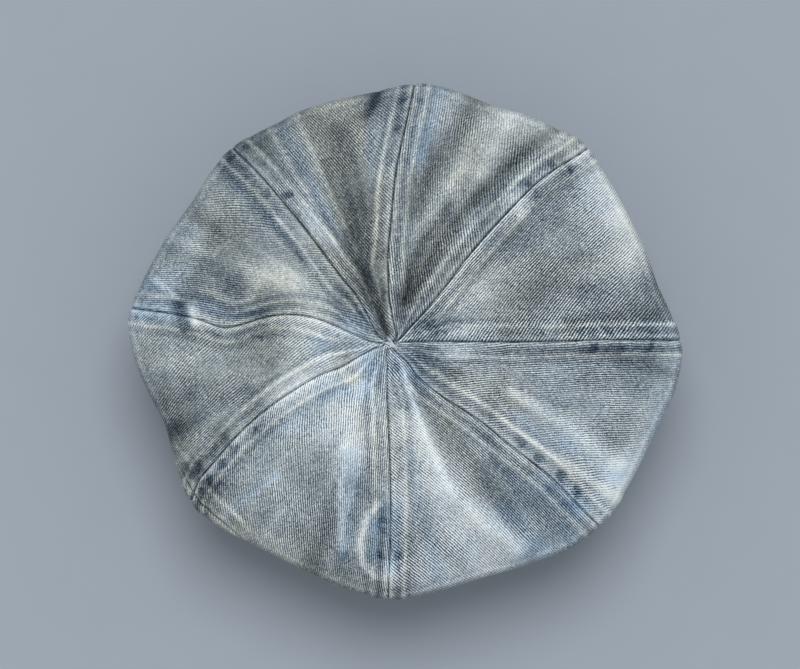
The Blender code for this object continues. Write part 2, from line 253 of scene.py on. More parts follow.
# The seam allowances from the apex out: reach in millimetres, how pale the worn edge and the cloth within
# it are counter-clockwise of the seam, and the same two clockwise of it.
ALLOWANCES = (
    ((22, 0.2, 0, 0.2, -0.04), (34, 0.08, 0.36, 0.24, 0.32), (48, 0.1, 0.1, 0.14, 0.06),
     (75, 0, 0, 0.06, -0.1), (102, 0.16, 0.04, 0.12, -0.06), (125, 0.16, -0.06, 0.08, -0.1)),
    ((20, 0.2, -0.09, 0.2, -0.03), (45, 0.05, 0, 0.1, 0.03), (75, 0, -0.04, 0.03, -0.04),
     (96, 0.16, 0.24, 0.12, 0.27), (110, 0.12, 0, -0.12, -0.06), (125, 0.14, 0, -0.02, -0.04)),
    ((20, 0.2, 0.05, 0.2, -0.04), (48, 0.18, 0, 0.14, 0.08), (75, 0.2, 0, 0.03, 0),
     (102, 0.14, 0.06, 0.04, -0.03), (125, 0.06, 0.02, 0.04, -0.04)),
    ((20, 0.1, -0.18, 0.2, 0), (45, 0.2, 0.04, 0.18, -0.02), (78, 0.24, 0.13, 0.24, 0.29),
     (102, 0.12, -0.02, 0.16, 0.02), (125, 0.16, 0.02, 0.14, 0.1)),
    ((20, 0.2, 0, 0.2, 0), (45, 0.13, 0.07, 0.08, 0.02), (55, 0.05, 0.02, 0.1, 0.02),
     (75, 0.02, -0.1, 0.12, -0.03), (102, 0.14, 0.1, 0.06, 0.14), (125, 0.12, 0, -0.02, 0)),
    ((20, 0.35, 0.04, 0.22, 0), (36, 0.12, 0.12, 0.16, 0.14), (48, 0.1, 0.06, 0.12, 0.06),
     (75, 0.16, 0.06, 0.12, 0.02), (102, 0.2, 0, 0.03, 0.06), (125, 0.1, -0.04, 0.1, 0.08)),
    ((20, 0.33, -0.06, 0.2, 0), (34, 0.26, 0.26, 0.3, 0.26), (46, 0.22, 0.14, 0.2, 0.06),
     (75, 0.18, 0.12, 0.08, 0.09), (102, 0.15, 0.1, -0.05, 0), (125, 0.2, -0.07, -0.05, -0.2)),
    ((20, 0.14, -0.09, 0.2, 0), (45, 0.2, 0, 0.22, 0), (75, 0.06, 0.04, 0.1, -0.1),
     (102, 0.18, 0.06, 0.1, -0.07), (125, 0.12, 0, 0.05, -0.1)),
)
# How dark each seam line is, and whether its lip with the painted highlight is the counter-clockwise one.
GROOVES = (
    (0.7, False), (0.9, False), (0.9, True), (0.9, True), (0.5, True), (0.55, True), (0.4, False),
    (0.8, True),
)
# How pale and how blue (-) or brown (+) each panel is as a whole, and how crisply its twill shows. The
# paleness is partly painted light: darker on the west side and paler to the south-east.
PANEL_FADE_AND_LIGHT = (0.0, 0.0, -0.03, -0.02, -0.02, -0.02, 0.03, 0.0)
PANEL_TINT = (0.12, 0.38, 0.4, 0.35, 0.42, 0.22, 0.08, 0.02)
PANEL_CRISP = (1.0, 0.6, 0.45, 0.45, 0.55, 0.85, 1.05, 0.75)
# The worn rim, with painted light in it, paler on the east side and darker on the west: angle, how much
# paler and how much bluer (-) or browner (+).
RIM_WEAR_AND_LIGHT = (
    (-20, 0.2, -0.4), (-6, 0.14, -0.3), (3, 0.07, -0.5), (12, 0.03, -0.1), (22, 0.3, 0), (30, 0.34, 0),
    (42, 0.26, 0.3), (51, 0.16, 0.1), (62, 0.16, 0), (78, 0, -0.1), (86, 0.02, 0.1), (94, -0.22, 0.2),
    (102, 0.26, 0.4), (110, 0.06, 0.3), (122, -0.08, 0.3), (132, -0.07, 0.2), (143, 0, 0.2),
    (153, -0.06, -0.2), (163, -0.14, -0.1), (174, 0.1, -0.4), (184, -0.05, 0.2), (194, -0.08, 0.4),
    (205, -0.06, 0.9), (212, -0.04, 0.8), (222, -0.06, 0.7), (230, 0.06, 0.7), (240, 0.04, 0.8),
    (252, -0.06, 0.7), (264, 0.05, 0.2), (272, -0.06, 0.1), (285, 0.08, -0.1), (297, 0.08, 0),
    (310, 0.06, -0.6), (317, 0.06, -0.2), (324, 0.3, 0), (332, 0.32, -0.3), (340, 0.2, -0.4),
)

# What the tables of folds and patches are multiplied by.
FOLD_HEIGHT = 1.5
FOLD_FADE_AND_LIGHT = 1.5
FOLD_TINT = 1.4

# ---- the seams' and the cloth's own measures
# Places along the section run from 0 at the apex over 1 at the rim to 2 at the band. The rim seam lies just
# past the rim, but is rolled up onto the top around one angle.
RIM_SEAM = 1.07
ROLLED_SEAM = 0.87
ROLLED_AT = 221.0
ROLLED_WIDTH = 13.0
RIM_SEAM_SEED = 9
BAND_SEAM_SEED = 10

# Heights of a seam's profile in millimetres.
GROOVE_MM = 0.7
WELT_MM = 1.0
EDGE_RISE_MM = 0.35
OUTER_DIP_MM = 0.4
RIPPLE_MM = 0.15
HOLLOW_MM = 0.6
# Where they lie beside the seam line: middle and half width in millimetres.
LINE_DIP = (0.0, 0.4)
STITCH_LINE = (0.0, 0.3)
LIP = (0.95, 0.45)
SHOULDER = (2.0, 1.0)
RIPPLE = (4.4, 2.8)
INNER = (4.8, 2.0)
OUTER_DIP = (10.8, 1.4)
OUTER_SHADE = (10.8, 1.5)
OUTER_BLUE = (11.0, 2.0)
# The allowance rises and ends between these distances, and its hollows lie between the other two pairs.
WELT_RISES = (0.15, 1.2)
WELT_ENDS = (7.6, 9.6)
HOLLOWS_BEGIN = (0.4, 2.2)
HOLLOWS_END = (5.2, 8.2)
EDGE_MM = 8.1
EDGE_WANDER_MM = 0.5
EDGE_HALF_MM = 0.95
# The lip is strongest near the apex and settles between these lengths along the seam.
LIP_SETTLES_MM = (25, 50)
LIP_AT_APEX = 1.6
# How much each of them pales or darkens the cloth, or turns it brown or blue. The lip's paleness is a
# painted highlight, and the darkening in the hollows and in the dip outside the edge is painted shade.
GROOVE_SHADE = 0.36
LIP_HIGHLIGHT = 0.12
SHOULDER_SHARE = 0.6
EDGE_FADE = 0.04
EDGE_GRAIN = 0.07
INNER_SHADE = 0.11
RIPPLE_FADE_AND_LIGHT = 0.07
HOLLOW_SHADE = 0.30
OUTER_DARK = 0.09
EDGE_BROWN = 0.5
HOLLOW_BLUE = 0.85
OUTER_TINT = 0.2
# A seam's profile keeps at least this share of its width where two seams crowd each other.
LEAST_ROOM = 0.05
DENT_HALF_MM = 3.0
DENT_SLANT = 0.35
SIDE_DENTS = 0.35

# Layers of noise: amount, cell's two sizes and seed. Radial ones are in degrees by millimetres, others in
# millimetres both ways.
RADIAL_WRINKLE = (0.7, 7.5, 55, 11)
CLOTH_WRINKLE = (0.30, 13, 13, 12)
CRINKLE = (0.12, 5.5, 5.5, 13)
RIM_WAVE = (1.2, 20, 80, 14)
RIM_WAVE_TURN = 100
BAND_GATHER = (0.9, 5, 0.5, 15)
WASH_CLOUD = (0.06, 17, 17, 21)
WASH_BLOTCH = (0.045, 7, 7, 22)
WASH_SPECK = (0.03, 2.9, 2.9, 23)
RADIAL_WASH = (0.05, 2.3, 38, 25)
TINT_CLOUD = (0.35, 21, 21, 31)
TINT_BLOTCH = (0.2, 8, 8, 32)
RADIAL_TINT = (0.12, 2, 30, 33)
BLOTCH_AXIS = (0.8, 0.6)
CRISP_CLOUD = (0.35, 12, 9, 24)
CRISP_APART_MM = 36

# The apex: how far it is drawn in, how dark and how blue it is, and over what reach in millimetres.
APEX_SINK_MM = 1.6
APEX_SINK_REACH_MM = 13
APEX_SHADE = 0.15
APEX_SHADE_REACH_MM = 7
APEX_BLUE = 0.85
APEX_BLUE_REACH_MM = 19
APEX_BLUE_MM = (-6, -3)

# The rim: how much of the folds' height its stretched edge takes away, and where its wear and painted
# light lie.
RIM_STRETCH = 0.72
RIM_STRETCHED = (0.8, 0.99)
RIM_WORN_AND_LIT = (0.86, 0.985)
RIM_SOFTENED = 0.45
RIM_SOFT = (0.93, 0.99)
PILLOW_MM = 1.0

# The denim's grid: columns and rows beside a seam lie at these distances from it, and the rest evenly.
EDGES_MM = (0.0, 0.3, 0.7, 1.2, 2.0, 3.0, 4.5, 6.0, 7.4, 8.2, 9.0, 10.4)
EDGE_MARGIN_MM = 2
BOTH_EDGES_MM = 24
FIRST_ROW_MM = 0.6
ROW_STEP_MM = 1.3
COLUMN_STEP_MM = 1.9
LINING_COARSER = 2.6
NARROWEST_SHARE = 0.004
RIM_PULL = 5

TWILL_MM = 1.2
TWILL_ANGLE = math.radians(26)


# ---- curves and noise
def bezier(start, first, second, end, t):
    s = 1 - t
    return s**3 * start + 3 * s**2 * t * first + 3 * s * t**2 * second + t**3 * end


def ease(low, high, x):
    """0 below low, 1 above high and smooth between."""
    t = np.clip((x - low) / (high - low), 0, 1)
    return t * t * (3 - 2 * t)


def bump(x, middle, half):
    """1 at the middle, and about a third at half to each side of it."""
    return np.exp(-(((x - middle) / half) ** 2))


def between(ends, share):
    return ends[0] + (ends[1] - ends[0]) * share


def turned(angle, start):
    """How far an angle lies from start, from -180 to 180 degrees."""
    return (angle - start + 180) % 360 - 180


def through(points, x):
    """A smooth line through (x, y) points, read at x."""
    known, values = np.array(points, float).T
    slopes = np.gradient(values, known)
    at = np.clip(x, known[0], known[-1])
    i = np.clip(np.searchsorted(known, at) - 1, 0, len(known) - 2)
    step = known[i + 1] - known[i]
    t = (at - known[i]) / step
    return (
        values[i] * (1 + 2 * t) * (1 - t) ** 2
        + slopes[i] * step * t * (1 - t) ** 2
        + values[i + 1] * t * t * (3 - 2 * t)
        + slopes[i + 1] * step * t * t * (t - 1)
    )


NOISE_CELLS = 64


def noise(x, y, seed):
    """Smooth noise from -1 to 1 with cells one unit wide, which repeats after NOISE_CELLS of them."""
    table = np.random.default_rng(seed).uniform(-1, 1, (NOISE_CELLS, NOISE_CELLS))
    i, j = np.floor(x).astype(int), np.floor(y).astype(int)
    u, v = x - i, y - j
    u, v = u * u * (3 - 2 * u), v * v * (3 - 2 * v)
    left, right = i % NOISE_CELLS, (i + 1) % NOISE_CELLS
    low, high = j % NOISE_CELLS, (j + 1) % NOISE_CELLS
    a = table[left, low] * (1 - u) + table[right, low] * u
    b = table[left, high] * (1 - u) + table[right, high] * u
    return a * (1 - v) + b * v


def layer(kind, x, y):
    """One of the layers of noise above, read at x and y."""
    amount, across, along, seed = kind
    return amount * noise(x / across, y / along, seed)


# ---- the plain crown
def outline():
    """The rim's points about the apex, counter-clockwise, with eased corners."""
    corners = np.array([(math.cos(math.radians(a)) * r, math.sin(math.radians(a)) * r) for a, r in CORNERS])
    points = []
    for side, bow in enumerate(SIDE_BOW):
        start, end = corners[side], corners[(side + 1) % PANELS]
        along = end - start
        outward = np.array((along[1], -along[0])) / np.linalg.norm(along)
        for t in np.arange(SIDE_SAMPLES) / SIDE_SAMPLES:
            points.append(start + along * t + outward * (4 * bow * t * (1 - t)))
    points = np.array(points)
    total = 0
    eased = np.zeros_like(points)
    for step in range(-CORNER_SAMPLES, CORNER_SAMPLES + 1):
        weight = CORNER_SAMPLES - abs(step)
        eased += np.roll(points, -step, 0) * weight
        total += weight
    return eased / total


OUTLINE = outline()
APEX = -(OUTLINE.min(0) + OUTLINE.max(0)) / 2
OUTLINE_ANGLE = np.degrees(np.unwrap(np.arctan2(OUTLINE[:, 1], OUTLINE[:, 0])))
OUTLINE_REACH = np.hypot(OUTLINE[:, 0], OUTLINE[:, 1])


def rim_reach(angle):
    """How far the rim lies from the apex, in metres."""
    waves = sum(outward * bump(turned(angle, at), 0, half) for at, half, outward in RIM_WAVES)
    return np.interp(angle, OUTLINE_ANGLE, OUTLINE_REACH, period=360) + MM * waves


def section(t):
    """Share of the way out (top) and in again (side), and the height, at t: 0 apex, 1 rim, 2 band."""
    top, side = np.clip(t, 0, 1), np.clip(t - 1, 0, 1)
    height = np.where(
        t <= 1,
        bezier(APEX_HEIGHT, APEX_HEIGHT, RIM_HEIGHT + ROLL_HEIGHT, RIM_HEIGHT, top),
        bezier(RIM_HEIGHT, RIM_HEIGHT - ROLL_HEIGHT, BAND_TOP + SIDE_SWELL, BAND_TOP, side),
    )
    return bezier(0, TOP_REACH, 1, 1, top), bezier(0, 0, SIDE_REACH, 1, side), height


def crown(angle, t):
    """The crown's plain surface at an angle about the apex and at t along its section."""
    out, back, height = section(t)
    turn = np.radians(angle)
    reach = rim_reach(angle)
    rim_x, rim_y = APEX[0] + reach * np.cos(turn), APEX[1] + reach * np.sin(turn)
    x = APEX[0] + reach * np.cos(turn) * out
    y = APEX[1] + reach * np.sin(turn) * out
    oval = np.arctan2(rim_y / BAND_WIDTH, rim_x / BAND_LENGTH)
    x = x * (1 - back) + BAND_LENGTH * np.cos(oval) * back
    y = y * (1 - back) + BAND_WIDTH * np.sin(oval) * back
    return np.stack([x, y, height], -1)


def crown_normal(angle, t):
    """The outward direction, from the surface's slopes over small steps."""
    step, turn, least = 1e-3, 0.3, 0.02
    along = crown(angle, np.minimum(t + step, 2)) - crown(angle, np.maximum(t - step, 0))
    across = crown(angle + turn, np.maximum(t, least)) - crown(angle - turn, np.maximum(t, least))
    normal = np.cross(along, across)
    return normal / np.maximum(np.linalg.norm(normal, axis=-1, keepdims=True), 1e-12)


# Length from the apex along the section at an angle of middling reach.
SECTION_ANGLE = 250.0
SECTION_T = np.linspace(0, 2, 801)
SECTION_POINTS = crown(np.full_like(SECTION_T, SECTION_ANGLE), SECTION_T)
SECTION_STEPS = np.linalg.norm(np.diff(SECTION_POINTS, axis=0), axis=1)
SECTION_MM = np.concatenate([[0], np.cumsum(SECTION_STEPS)]) / MM
RIM_MM = np.interp(1, SECTION_T, SECTION_MM)
MIDDLING_REACH_MM = 140


def rolled_up(angle):
    """How far the rim seam is rolled up onto the top, from 0 to 1."""
    return np.exp(-((turned(angle, ROLLED_AT) / ROLLED_WIDTH) ** 4))


def rim_seam(angle):
    """Where along the section the rim seam runs."""
    return RIM_SEAM + (ROLLED_SEAM - RIM_SEAM) * rolled_up(angle)


def seam_angle(seam, out):
    """The angle of a seam at each share of the way out to the rim."""
    reach = out * MIDDLING_REACH_MM
    # The rim's reach depends on the angle, so the two are settled together.
    for _ in range(5):
        angle = through(SEAM_PATHS[seam % PANELS], reach)
        reach = out * rim_reach(angle) / MM
    return angle + 360 * (seam // PANELS)


# ---- folds, wear and seams
def along_line(points, x, y):
    """How far each place lies from a line through angles and reaches, and its share of the way along."""
    turns, reaches = np.radians(points[::2]), np.array(points[1::2])
    line = np.stack([reaches * np.cos(turns), reaches * np.sin(turns)], -1)
    lengths = np.linalg.norm(np.diff(line, axis=0), axis=1)
    starts = np.concatenate([[0], np.cumsum(lengths)])
    nearest, share = np.full_like(x, np.inf), np.zeros_like(x)
    for k, length in enumerate(lengths):
        way = (line[k + 1] - line[k]) / length
        along = np.clip((x - line[k][0]) * way[0] + (y - line[k][1]) * way[1], 0, length)
        away = np.hypot(x - line[k][0] - way[0] * along, y - line[k][1] - way[1] * along)
        closer = away < nearest
        nearest = np.where(closer, away, nearest)
        share = np.where(closer, (starts[k] + along) / starts[-1], share)
    return nearest, share


def folds(x, y):
    """Height in millimetres, paleness with its painted light and shade, and tint of the folds and patches.
    """
    height, fade_and_light, tint = np.zeros_like(x), np.zeros_like(x), np.zeros_like(x)
    for points, start, end, *heights, paler, browner in (*FOLDS, *PATCHES):
        away, share = along_line(points, x, y)
        shape = bump(away, 0, between((start, end), share))
        if heights:
            height += FOLD_HEIGHT * shape * between(heights, share)
        fade_and_light += FOLD_FADE_AND_LIGHT * shape * paler
        tint += FOLD_TINT * shape * browner
    return height, fade_and_light, tint


def relief(angle, t):
    """Height in millimetres, paleness with painted light and tint of the cloth, the same on both sides of a
    seam.
    """
    out = section(t)[0]
    beyond = np.interp(t, SECTION_T, SECTION_MM) - RIM_MM
    reach = out * rim_reach(angle) / MM
    reach = reach + np.maximum(beyond, 0) * 0.6
    turn = np.radians(angle)
    x, y = reach * np.cos(turn), reach * np.sin(turn)
    height, fade_and_light, tint = folds(x, y)
    # Long shallow wrinkles that follow the radii, and small ones that follow nothing.
    spread = ease(5, 60, reach)
    height += spread * layer(RADIAL_WRINKLE, angle, reach)
    height += spread * layer(CLOTH_WRINKLE, x, y) + layer(CRINKLE, x, y)
    height += ease(60, 140, reach) * layer(RIM_WAVE, angle + RIM_WAVE_TURN, reach)
    height -= APEX_SINK_MM * bump(reach, 0, APEX_SINK_REACH_MM)
    fade_and_light -= APEX_SHADE * bump(reach, 0, APEX_SHADE_REACH_MM)
    tint -= APEX_BLUE * bump(np.hypot(x - APEX_BLUE_MM[0], y - APEX_BLUE_MM[1]), 0, APEX_BLUE_REACH_MM)
    # Against the rim the cloth is stretched, so its edge stays nearly even, and worn, with painted light:
    # paler on the east side and darker on the west.
    height *= 1 - RIM_STRETCH * ease(*RIM_STRETCHED, t) * (1 - ease(0, 12, beyond))
    worn = ease(*RIM_WORN_AND_LIT, out) * (1 - 0.8 * ease(3, 12, beyond))
    at, paler, browner = np.array(RIM_WEAR_AND_LIGHT).T
    fade_and_light += worn * np.interp(angle, at, paler, period=360)
    tint += worn * np.interp(angle, at, browner, period=360)
    # Clouds and blotches of the wash.
    across = x * BLOTCH_AXIS[0] - y * BLOTCH_AXIS[1]
    down = x * BLOTCH_AXIS[1] + y * BLOTCH_AXIS[0]
    fade_and_light += layer(WASH_CLOUD, x, y) + layer(WASH_BLOTCH, across, down)
    fade_and_light += layer(WASH_SPECK, x, y) + spread * layer(RADIAL_WASH, angle, reach)
    tint += layer(TINT_CLOUD, x, y) + layer(TINT_BLOTCH, across, down) + layer(RADIAL_TINT, angle, reach)
    # All of it dies out towards the band, where small gathers take over.
    height *= 1 - 0.9 * ease(0, 32, beyond)
    height += ease(2, 20, beyond) * layer(BAND_GATHER, angle, t)
    fade_and_light *= 1 - 0.6 * ease(0, 30, beyond)
    tint *= 1 - 0.5 * ease(0, 30, beyond)
    return height, fade_and_light, tint


def seam_profile(away, along, dent, seed, room, groove=0.6, lit=0.0, pale=0.20, inner=0.0):
    """Height in millimetres, paleness with painted light and tint across one side of a seam.

    away is the distance from the seam line and along the place on it, in millimetres. dent is how far the
    thread pulls the cloth in, room the share of the seam's width that there is space for, groove how dark
    the line is, lit whether its lip gets the painted highlight, pale how worn the allowance's edge is and
    inner how pale the cloth within it.
    """
    scale = np.clip(room, LEAST_ROOM, 1)
    d = away / scale
    thick = between((0.5, 1), scale)
    welt = ease(*WELT_RISES, away) * (1 - ease(*WELT_ENDS, d))
    worn = 0.85 + 0.35 * noise(along / 9, 3.3 * seed, 80 + seed)
    edge = bump(d, EDGE_MM + EDGE_WANDER_MM * noise(along / 12, 2.1 * seed, 90 + seed), EDGE_HALF_MM)
    # The allowance lies in waves, and is hollow where the thread pulls it in.
    wave = noise((along + 0.35 * away) / 3.4 + 17 * seed, away / 6 + seed, 40 + seed)
    fine = noise(along / 1.7, away / 2.2, 60 + seed)
    inside = ease(*HOLLOWS_BEGIN, d) * (1 - ease(*HOLLOWS_END, d))
    hollow = inside * np.clip(1.05 * dent + (0.22 + 0.5 * dent) * (wave + 0.6 * fine) - 0.10, 0, 1.2)
    ripple = wave * bump(d, *RIPPLE)
    stitched = 0.75 + 0.5 * noise(along / 2.8, 1.3 * seed, 110 + seed)
    lip = bump(away, *LIP) * lit * (LIP_AT_APEX - (LIP_AT_APEX - 1) * ease(*LIP_SETTLES_MM, along))
    lip = lip + SHOULDER_SHARE * bump(away, *SHOULDER)
    height = -GROOVE_MM * bump(away, *LINE_DIP)
    height += WELT_MM * thick * welt + RIPPLE_MM * ripple - HOLLOW_MM * hollow
    height += (EDGE_RISE_MM * edge - OUTER_DIP_MM * bump(d, *OUTER_DIP)) * scale
    # Painted light: a highlight on the lip, shade in the hollows and in the dip outside the edge, and paler
    # ripple crests with darker troughs, these partly also wear. The worn edge is the cloth's own.
    fade_and_light = LIP_HIGHLIGHT * lip - GROOVE_SHADE * groove * stitched * bump(away, *STITCH_LINE)
    fade_and_light += edge * scale * worn * (pale + EDGE_FADE + EDGE_GRAIN * fine)
    fade_and_light -= OUTER_DARK * bump(d, *OUTER_SHADE) * scale
    fade_and_light += (inner - INNER_SHADE) * bump(d, *INNER) + RIPPLE_FADE_AND_LIGHT * ripple - HOLLOW_SHADE * hollow
    tint = (EDGE_BROWN * edge - OUTER_TINT * bump(d, *OUTER_BLUE)) * scale - HOLLOW_BLUE * hollow
    return height, fade_and_light, tint


def dents(seam, reach, hand):
    """How deep the thread pulls the cloth in, counter-clockwise (hand 1) or clockwise (2) of a seam."""
    total = np.zeros_like(reach)
    for dent in DENTS[seam]:
        total = np.maximum(total, dent[hand] * bump(reach, dent[0], DENT_HALF_MM))
    return total


def panel_seam(seam, hand, away, reach, length, side, room):
    """The profile beside a seam between two panels."""
    groove, pale_hand = GROOVES[seam]
    known = np.array(ALLOWANCES[seam]).T
    pale = np.interp(reach, known[0], known[2 * hand - 1])
    inner = np.interp(reach, known[0], known[2 * hand])
    dent = dents(seam, reach + DENT_SLANT * away, hand) * (SIDE_DENTS if side else 1.0)
    lit = float(pale_hand == (hand == 1))
    return seam_profile(away, length, dent, seam, room, groove, lit, pale, inner)


def rim_profile(angle, t, away):
    """The profile beside the rim seam, slight under the rim and full where the seam is rolled up."""
    rolled = rolled_up(angle)
    around = np.radians(angle) * MIDDLING_REACH_MM
    dent = rolled * np.maximum(noise(around / 9, 0.5, 120), 0)
    keep = 0.25 + 0.5 * rolled + 0.25 * ease(1.02, 1.06, t)
    return [keep * part for part in seam_profile(away, around, dent, RIM_SEAM_SEED, np.ones_like(away))]


# ---- grids of points
def spaced(width_mm, columns):
    """Shares across each width where columns stand, close together near both seams, and the seams' room."""
    edges = np.array(EDGES_MM)
    room = np.minimum(1, width_mm / (2 * (edges[-1] + EDGE_MARGIN_MM)))
    left = edges[None, :] * room[:, None]
    inner = columns - 2 * len(edges)
    fill = np.linspace(0, 1, inner + 2)[1:-1]
    middle = left[:, -1:] + (width_mm[:, None] - 2 * left[:, -1:]) * fill[None, :]
    columns_mm = np.concatenate([left, middle, width_mm[:, None] - left[:, ::-1]], 1)
    return columns_mm / width_mm[:, None], room


def rows_to_seam(start_mm, end_mm, step):
    """Lengths along the section: even at first, and close together before the seam at the end."""
    edges = np.array(EDGES_MM)
    count = int((end_mm - start_mm - edges[-1]) / step)
    even = np.linspace(start_mm, end_mm - edges[-1], count, endpoint=False)
    return np.concatenate([even, end_mm - edges[::-1]])


def panel_grid(panel, side, coarser):
    """Angle, place along the section and share across of a panel's points, and its rows' widths and room."""
    seam_mm = np.interp(RIM_SEAM, SECTION_T, SECTION_MM)
    step = ROW_STEP_MM * coarser
    if side:
        lengths = (SECTION_MM[-1] + seam_mm - rows_to_seam(seam_mm, SECTION_MM[-1], step))[::-1]
    else:
        lengths = rows_to_seam(FIRST_ROW_MM, seam_mm, step)
    t = np.interp(lengths, SECTION_MM, SECTION_T)

    def moved(t, angle):
        """t drawn to where the rim seam runs at that angle."""
        at = rim_seam(angle)
        if side:
            return at + (2 - at) * ((t - RIM_SEAM) / (2 - RIM_SEAM))
        return t + (at - RIM_SEAM) * (t / RIM_SEAM) ** RIM_PULL

    ends = []
    for seam in (panel, panel + 1):
        angle = seam_angle(seam, section(t)[0])
        ends.append(seam_angle(seam, section(moved(t, angle))[0]))
    out = np.maximum(section(t)[0], NARROWEST_SHARE)
    width = np.radians(ends[1] - ends[0]) * rim_reach((ends[0] + ends[1]) / 2) / MM * out
    columns = 2 * len(EDGES_MM) + int((width.max() - BOTH_EDGES_MM) / (COLUMN_STEP_MM * coarser))
    share, room = spaced(width, columns)
    angle = ends[0][:, None] + (ends[1] - ends[0])[:, None] * share
    return angle, moved(t[:, None], angle), share, width[:, None], room[:, None]


def cloth_points(panel, side, sink=0.0, coarser=1.0, seams=True):
    """Points, fields and flat pattern of a panel. sink is how far inside the denim's outside it lies."""
    angle, t, share, width, room = panel_grid(panel, side, coarser)
    height, fade_and_light, tint = relief(angle, t)
    out = section(t)[0]
    reach = out * rim_reach(angle) / MM
    length = np.interp(t, SECTION_T, SECTION_MM)
    seam_length = np.interp(rim_seam(angle), SECTION_T, SECTION_MM)
    if side:
        width = np.broadcast_to(width, share.shape)
    else:
        width = np.radians(angle[:, -1:] - angle[:, :1]) * reach
    if seams:
        # The raised allowances flatten at the apex and where the rim stretches them.
        stretched = ease(0.9, 0.995, t) * (1 - ease(0, 10, length - seam_length))
        hold = ease(1.5, 9, reach) * (1 - 0.6 * stretched)
        for seam, hand, away in ((panel, 1, share * width), (panel + 1, 2, (1 - share) * width)):
            rise, paler, browner = panel_seam(seam % PANELS, hand, away, reach, length, side, room)
            height, fade_and_light, tint = height + rise * hold, fade_and_light + paler, tint + browner
        rise, paler, browner = rim_profile(angle, t, np.abs(length - seam_length))
        height, fade_and_light, tint = height + rise, fade_and_light + paler, tint + browner
    height = height + PILLOW_MM * np.sin(np.pi * share) * ease(15, 90, reach) * (1 - ease(1.0, 1.5, t))
    points = crown(angle, t) + crown_normal(angle, t) * (height * MM - sink)[..., None]
    spread = (share - 0.5) * width / np.maximum(length, 1)
    flat = np.stack([length * np.cos(spread), length * np.sin(spread)], -1) * MM
    crisp = PANEL_CRISP[panel] + layer(CRISP_CLOUD, reach + CRISP_APART_MM * panel, angle)
    crisp = crisp * (1 - RIM_SOFTENED * ease(*RIM_SOFT, out))
    fields = {"fade_and_light": fade_and_light + PANEL_FADE_AND_LIGHT[panel], "tint": tint + PANEL_TINT[panel], "crisp": crisp}
    return points, fields, flat


def grid_object(name, points, fields, flat, thickness, material):
    """A sheet from rows and columns of points, thickened inward, with its flat pattern as the UV map."""
    rows, columns = points.shape[:2]
    index = np.arange(rows * columns).reshape(rows, columns)
    quads = np.stack([index[:-1, :-1], index[1:, :-1], index[1:, 1:], index[:-1, 1:]], -1).reshape(-1, 4)
    mesh = bpy.data.meshes.new(name)
    mesh.from_pydata(points.reshape(-1, 3).tolist(), [], quads.tolist())
    for key, values in fields.items():
        attribute = mesh.attributes.new(key, "FLOAT", "POINT")
        attribute.data.foreach_set("value", values.ravel().astype(np.float32))
    grain = mesh.uv_layers.new(name="grain")
    grain.data.foreach_set("uv", flat.reshape(-1, 2)[quads.ravel()].astype(np.float32).ravel())
    mesh.materials.append(material)
    mesh.shade_smooth()
    piece = bpy.data.objects.new(name, mesh)
    bpy.context.scene.collection.objects.link(piece)
    solid = piece.modifiers.new("thickness", "SOLIDIFY")
    solid.thickness = thickness
    solid.offset = -1
    return piece


# ---- materials
def linear(red, green, blue):
    """A colour given in sRGB, 0 to 255, as Blender's linear one."""
    def one(c):
        c /= 255
        return c / 12.92 if c <= 0.04045 else ((c + 0.055) / 1.055) ** 2.4

    return (one(red), one(green), one(blue), 1.0)


